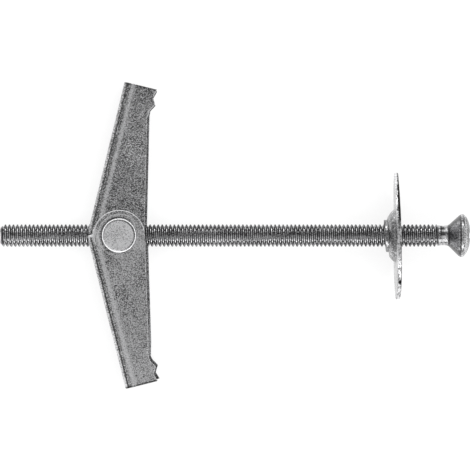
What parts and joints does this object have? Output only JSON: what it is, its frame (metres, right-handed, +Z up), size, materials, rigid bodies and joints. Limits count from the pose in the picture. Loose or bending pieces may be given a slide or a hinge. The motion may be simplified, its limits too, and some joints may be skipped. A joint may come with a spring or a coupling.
{
  "type": "spring toggle bolt",
  "caption": "Zinc-plated spring toggle bolt: a long raised countersunk machine screw with a cup washer and folding toothed channel wings on a trunnion nut.",
  "frame": {"origin": "centre of the part's bounding box, on the surface that it lies on", "axes": "+X along the screw towards its head, 5.9 degrees less steep than the screw itself, which lies tilted; +Y along the open rear wing; +Z up"},
  "size_m": [0.0812, 0.0526, 0.022],
  "materials": {
    "screw_steel": "zinc-plated steel with a rolled thread, grey with bright flanks",
    "washer_steel": "zinc-plated pressed sheet, light grey",
    "nut_steel": "zinc-plated turned steel with staked ends",
    "wing_steel": "zinc-plated folded sheet, grey and finely mottled",
    "spring_steel": "plain drawn spring wire"
  },
  "bodies": {
    "screw": {"screw": "screw_steel"},
    "washer": {"cup_washer": "washer_steel"},
    "nut": {"trunnion_nut": "nut_steel", "torsion_spring": "spring_steel"},
    "rear_wing": {"rear_wing": "wing_steel"},
    "front_wing": {"front_wing": "wing_steel"}
  },
  "joints": [
    {"name": "nut_travel", "type": "slide", "parent": "screw", "child": "nut", "axis": [0.9947, 0, 0.1025], "range_m": [-0.0175, 0.0115]},
    {"name": "washer_slide", "type": "slide", "parent": "screw", "child": "washer", "axis": [0.9947, 0, 0.1025], "range_m": [-0.0075, 0.01105]},
    {"name": "rear_wing_fold", "type": "hinge", "parent": "nut", "child": "rear_wing", "pos_m": [-0.01971, 0, 0.00603], "axis": [0.1025, 0, -0.9947], "range_deg": [0, 80], "stiffness_Nm_per_rad": 0.012, "springref_deg": -60.16, "deforming": ["torsion_spring"]},
    {"name": "front_wing_fold", "type": "hinge", "parent": "nut", "child": "front_wing", "pos_m": [-0.01971, 0, 0.00603], "axis": [-0.1025, 0, 0.9947], "range_deg": [0, 80], "stiffness_Nm_per_rad": 0.012, "springref_deg": -60.16, "deforming": ["torsion_spring"]}
  ]
}
